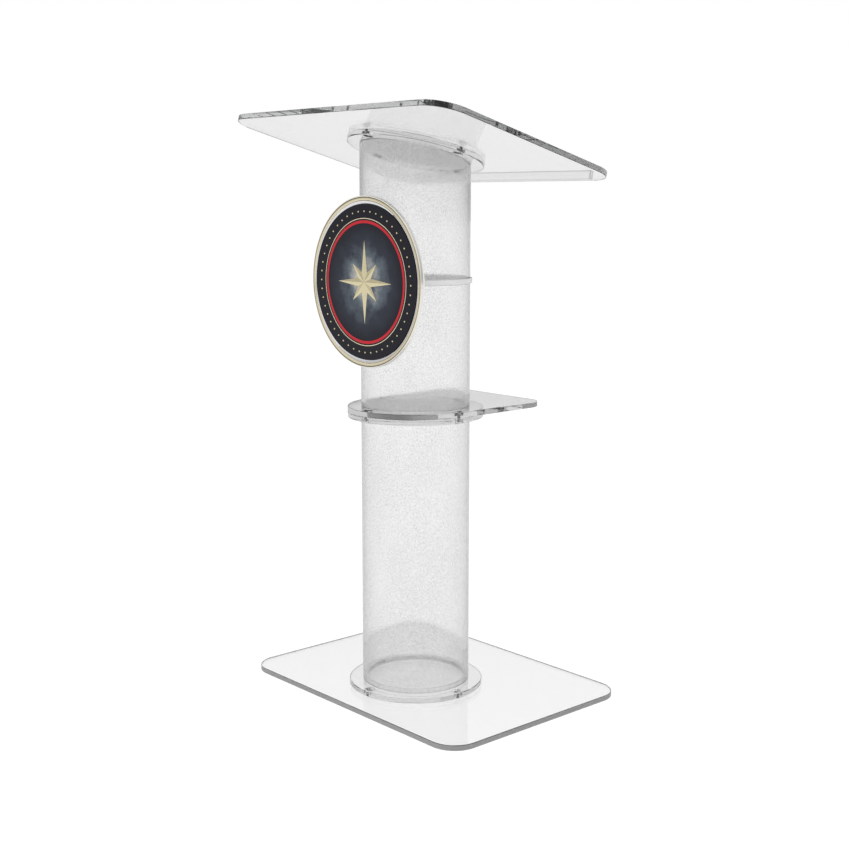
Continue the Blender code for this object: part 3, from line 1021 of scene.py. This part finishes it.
def build_bracket():
    """The satin disc that carries the sign on its tongue."""
    low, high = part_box("sign_bracket")
    # Bracket sheet greyed with painted shade inside the column.
    satin = sheet_material("satin_bracket_sheet", shade_amount=BRACKET_COLUMN_SHADE)
    satin.node_tree.nodes["Principled BSDF"].inputs["Specular Tint"].default_value = BRACKET_SHEEN
    build_plate("sign_bracket", bracket_outline(low), low.z, high.z, even_wall(GROUND_SLOT),
                arris=FINE_ARRIS, face=satin)


def build_sign():
    """Backing, panel, rings, star, studs and screws, built facing up and turned to the audience."""
    back_low, back_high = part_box("sign_backing")
    panel_low, panel_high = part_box("sign_panel")
    rim_low, rim_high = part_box("sign_rim")
    ring_low, ring_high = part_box("sign_inner_ring")
    centre = (panel_low + panel_high) / 2
    # Local +Z faces the audience; local z = 0 lies on the back of the backing disc.
    turn = Matrix.Translation((centre.x, back_high.y, centre.z))
    turn = turn @ Matrix.Rotation(math.pi / 2, 4, "X")

    def depth(y):
        return back_high.y - y

    backing = plate_mesh("sign_backing", inset_circle(rim_high.x), 0.0, depth(back_low.y),
                         FINE_ARRIS)
    shade(backing)
    piece("sign_backing_opal", backing, (OPAL,), "clear_acrylic", "sign_backing", matrix=turn)

    width = panel_high.x
    height = (panel_high.z - panel_low.z) / 2
    panel_front = depth(panel_low.y)

    def oval(inset, grow=0.0):
        return [(x * (width + grow - inset), y * (height + grow - inset)) for x, y in circle(1.0)]

    panel = plate_mesh("sign_panel", oval, depth(panel_high.y), panel_front, FINE_ARRIS)
    shade(panel)
    panel.transform(turn)
    piece("sign_panel_printed", panel, (PRINT,), "printed_panel", "sign_panel")

    ring_back, ring_front = depth(ring_high.y), depth(ring_low.y)
    ring_radius = ring_high.x
    ring = skin("sign_inner_ring", [
        at_height(circle(ring_radius), ring_back),
        at_height(circle(ring_radius), ring_front - FINE_ARRIS),
        at_height(circle(ring_radius - FINE_ARRIS), ring_front),
        at_height(circle(ring_radius - 2 * FINE_ARRIS), ring_front),
        at_height(oval(0.0, SIGN_GAP), ring_front - INNER_RING_SLOPE),
        at_height(oval(0.0, SIGN_GAP), ring_back),
    ], closed=True)
    shade(ring)
    piece("sign_inner_ring_polished", ring, (SILVER,), "silver_trim", "sign_inner_ring",
          matrix=turn)

    rim = rim_mesh(ring_radius + SIGN_GAP, rim_high.x, depth(rim_high.y), depth(rim_low.y))
    rim.transform(turn)
    piece("sign_rim_polished", rim, (RIM_GOLD,), "gold_trim", "sign_rim")

    on_face = turn @ Matrix.Translation((0, 0, panel_front))
    piece("sign_star", star_mesh(), (GOLD,), "gold_trim", matrix=on_face)
    piece("sign_studs", studs_mesh(), (GOLD,), "gold_trim", matrix=on_face)

    screw_low, screw_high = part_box("sign_screw_1")
    screw = countersunk_screw_mesh(depth(screw_low.y), depth(screw_high.y))
    for number in (1, 2):
        low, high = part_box(f"sign_screw_{number}")
        place = turn @ Matrix.Translation(((low.x + high.x) / 2, 0, 0))
        piece(f"sign_screw_{number}_finished", screw, (STEEL,), "stainless_steel",
              f"sign_screw_{number}", matrix=place)


def dimmed_in_mirrors(tree, straight, mirrored):
    """One strength seen directly or through glass, and another after a reflection or two."""
    path = tree.nodes.new("ShaderNodeLightPath")
    depth = path.outputs["Glossy Depth"]
    some = math_node(tree, "GREATER_THAN", depth, 0.5)
    few = math_node(tree, "LESS_THAN", depth, MIRROR_DEPTH + 0.5)
    reflected = math_node(tree, "MULTIPLY", some, few)
    change = math_node(tree, "MULTIPLY", reflected, math_node(tree, "SUBTRACT", mirrored, straight))
    return math_node(tree, "ADD", straight, change)


def sky_in_mirrors(tree):
    """Reflections see a backdrop that is dimmer towards the horizon."""
    direction = tree.nodes.new("ShaderNodeTexCoord").outputs["Generated"]
    split = tree.nodes.new("ShaderNodeSeparateXYZ")
    tree.links.new(direction, split.inputs["Vector"])
    return remap(tree, split.outputs["Z"], LOW_SKY, HIGH_SKY,
                 LOW_SKY_IN_MIRRORS, HIGH_SKY_IN_MIRRORS)


def beside_flag(tree):
    """How much sky is left by a dark flag beside the lectern, which the camera doesn't see."""
    direction = tree.nodes.new("ShaderNodeTexCoord").outputs["Generated"]
    towards = tree.nodes.new("ShaderNodeVectorMath")
    towards.operation = "DOT_PRODUCT"
    towards.inputs[1].default_value = FLAG_DIRECTION
    tree.links.new(direction, towards.inputs[0])
    flag = remap(tree, towards.outputs["Value"], FLAG_EDGE, 1.0, 0.0, FLAG_DEPTH)
    path = tree.nodes.new("ShaderNodeLightPath")
    unseen = math_node(tree, "SUBTRACT", 1.0, path.outputs["Is Camera Ray"])
    return math_node(tree, "SUBTRACT", 1.0, math_node(tree, "MULTIPLY", flag, unseen))


def build_studio():
    """A white floor that runs to the horizon under a pale even sky."""
    bm = bmesh.new()
    bmesh.ops.create_circle(bm, cap_ends=True, radius=FLOOR_RADIUS, segments=FLOOR_STEPS)
    mesh = bpy.data.meshes.new("floor")
    bm.to_mesh(mesh)
    bm.free()
    floor = bpy.data.objects.new("floor", mesh)
    floor.location.z = -FLOOR_DROP
    bpy.context.scene.collection.objects.link(floor)
    material, tree, shader = new_material("floor", Roughness=0.9, Specular_IOR_Level=0.0)
    shader.inputs["Base Color"].default_value = (FLOOR_GREY, FLOOR_GREY, FLOOR_GREY, 1.0)
    shader.inputs["Emission Color"].default_value = (*WHITE, 1.0)
    glow = dimmed_in_mirrors(tree, FLOOR_GLOW, FLOOR_GLOW_IN_MIRRORS)
    tree.links.new(glow, shader.inputs["Emission Strength"])
    mesh.materials.append(material)
    world = bpy.data.worlds.new("studio")
    world.use_nodes = True
    tree = world.node_tree
    background = tree.nodes["Background"]
    background.inputs["Color"].default_value = (*WHITE, 1.0)
    strength = dimmed_in_mirrors(tree, SKY_STRENGTH, sky_in_mirrors(tree))
    strength = math_node(tree, "MULTIPLY", strength, beside_flag(tree))
    tree.links.new(strength, background.inputs["Strength"])
    bpy.context.scene.world = world
    bpy.context.scene.view_settings.view_transform = "Standard"


def build_camera():
    data = bpy.data.cameras.new("camera")
    data.lens = CAMERA_LENS
    data.sensor_width = SENSOR_WIDTH
    camera = bpy.data.objects.new("camera", data)
    camera.location = CAMERA_PLACE
    pitch, heading = math.radians(90 + CAMERA_PITCH), math.radians(CAMERA_HEADING)
    camera.rotation_euler = (pitch, 0.0, heading)
    bpy.context.scene.collection.objects.link(camera)
    bpy.context.scene.camera = camera


build_camera()
build_studio()
build_base()
for column, slope in (("lower_column", 0.0), ("middle_column", 0.0), ("upper_column", DESK_TILT)):
    build_tube(column, slope)
build_shelf()
build_desk()
build_bracket()
build_sign()
cycles = bpy.context.scene.cycles
cycles.max_bounces = cycles.glossy_bounces = cycles.transmission_bounces = BOUNCES
